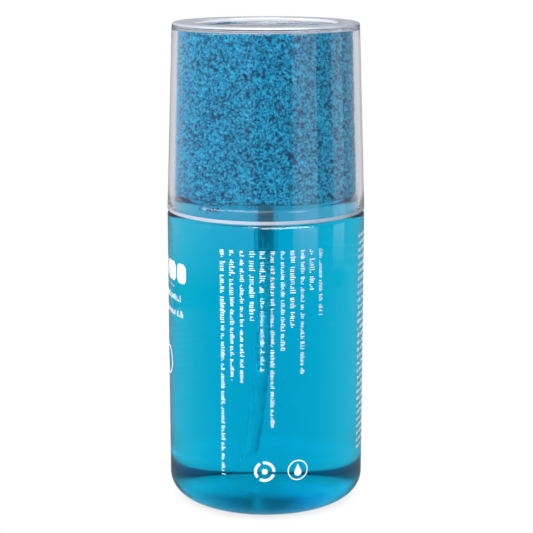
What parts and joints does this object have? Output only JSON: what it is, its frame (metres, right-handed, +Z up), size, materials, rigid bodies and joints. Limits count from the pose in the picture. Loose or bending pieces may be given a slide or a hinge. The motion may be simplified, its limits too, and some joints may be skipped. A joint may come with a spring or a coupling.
{
  "type": "lens cleaning spray",
  "caption": "Clear round spray bottle of blue lens cleaning fluid with a fine-mist pump, a microfibre cloth wound round the pump and a clear tapered overcap.",
  "frame": {"origin": "centre of the bottle's base, on the surface that it stands on", "axes": "+Z up along the bottle's axis; the nozzle points along -X; -Y is the side with the small print"},
  "size_m": [0.055, 0.055, 0.134],
  "materials": {
    "clear_pet": "clear, smooth and glossy",
    "blue_fluid": "clear cyan-blue liquid",
    "clear_cap": "clear with a faint milky haze, glossy",
    "blue_microfibre": "short looped pile",
    "white_ribbed_plastic": "moulded, fine grip ribs",
    "white_plastic": "moulded, semi-gloss",
    "natural_plastic": "natural translucent, satin",
    "tube_plastic": "natural translucent tube",
    "grey_gasket": "soft matt",
    "spring_steel": "drawn stainless wire",
    "ball_steel": "polished stainless steel"
  },
  "bodies": {
    "bottle": {"bottle": "clear_pet", "cleaning_fluid": "blue_fluid"},
    "cap": {"overcap": "clear_cap"},
    "cloth": {"microfibre_cloth": "blue_microfibre"},
    "pump": {"pump_housing": "natural_plastic", "pump_turret": "white_plastic", "stem_seal": "grey_gasket", "neck_gasket": "grey_gasket", "dip_tube": "tube_plastic", "return_spring": "spring_steel"},
    "collar": {"closure_collar": "white_ribbed_plastic"},
    "plunger": {"stem": "natural_plastic", "stem_core": "natural_plastic"},
    "piston": {"piston": "natural_plastic"},
    "head": {"spray_button": "white_plastic", "nozzle_insert": "white_plastic"},
    "ball": {"inlet_ball": "ball_steel"}
  },
  "joints": [
    {"name": "cap_lift", "type": "slide", "parent": "bottle", "child": "cap", "axis": [0, 0, 1], "range_m": [0, 0.11]},
    {"name": "cloth_lift", "type": "slide", "parent": "bottle", "child": "cloth", "axis": [0, 0, 1], "range_m": [0, 0.055]},
    {"name": "pump_lift", "type": "slide", "parent": "bottle", "child": "pump", "axis": [0, 0, 1], "range_m": [0, 0.00406]},
    {"name": "collar_turn", "type": "hinge", "parent": "pump", "child": "collar", "pos_m": [0, 0, 0.1], "axis": [0, 0, 1], "range_deg": [0, 460]},
    {"name": "head_press", "type": "slide", "parent": "pump", "child": "plunger", "axis": [0, 0, -1], "range_m": [0, 0.005], "stiffness_N_per_m": 800, "springref_m": -0.0012, "deforming": ["return_spring"]},
    {"name": "piston_slip", "type": "slide", "parent": "plunger", "child": "piston", "axis": [0, 0, 1], "range_m": [0, 0.0006]},
    {"name": "head_turn", "type": "hinge", "parent": "plunger", "child": "head", "pos_m": [0, 0, 0.12], "axis": [0, 0, 1], "continuous": true},
    {"name": "ball_rise", "type": "slide", "parent": "pump", "child": "ball", "axis": [0, 0, 1], "range_m": [0, 0.0007]}
  ],
  "couplings": [
    {"joint": "cloth_lift", "follows": "cap_lift", "ratio": 0.5},
    {"joint": "collar_turn", "follows": "pump_lift", "rad_per_m": 1979},
    {"joint": "piston_slip", "follows": "head_press", "ratio": 0.12}
  ]
}
